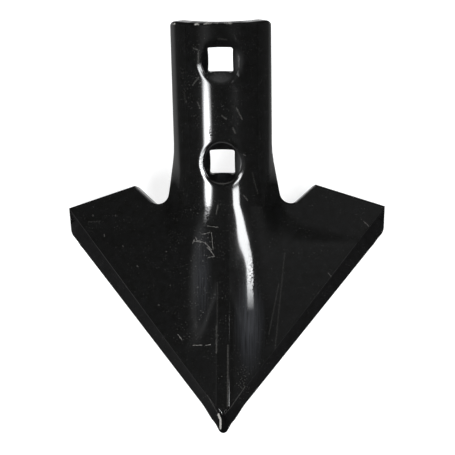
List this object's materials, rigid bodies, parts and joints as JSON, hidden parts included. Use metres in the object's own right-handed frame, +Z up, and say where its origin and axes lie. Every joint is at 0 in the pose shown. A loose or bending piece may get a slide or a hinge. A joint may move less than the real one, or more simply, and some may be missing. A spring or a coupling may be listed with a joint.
{
  "type": "cultivator share",
  "caption": "A-shaped duckfoot share pressed from plate, with bevelled wings and an arched stem with countersunk square bolt holes.",
  "frame": {"origin": "centre of the bounding box's bottom, on the ground that the share lies on", "axes": "+X across the wings, +Y from the point towards the stem's end, +Z up, out of the painted front face"},
  "size_m": [0.1422, 0.1642, 0.0826],
  "materials": {
    "paint": "gloss black paint on pressed steel, scuffed and scratched"
  },
  "bodies": {
    "root": {"share": "paint"}
  },
  "joints": []
}
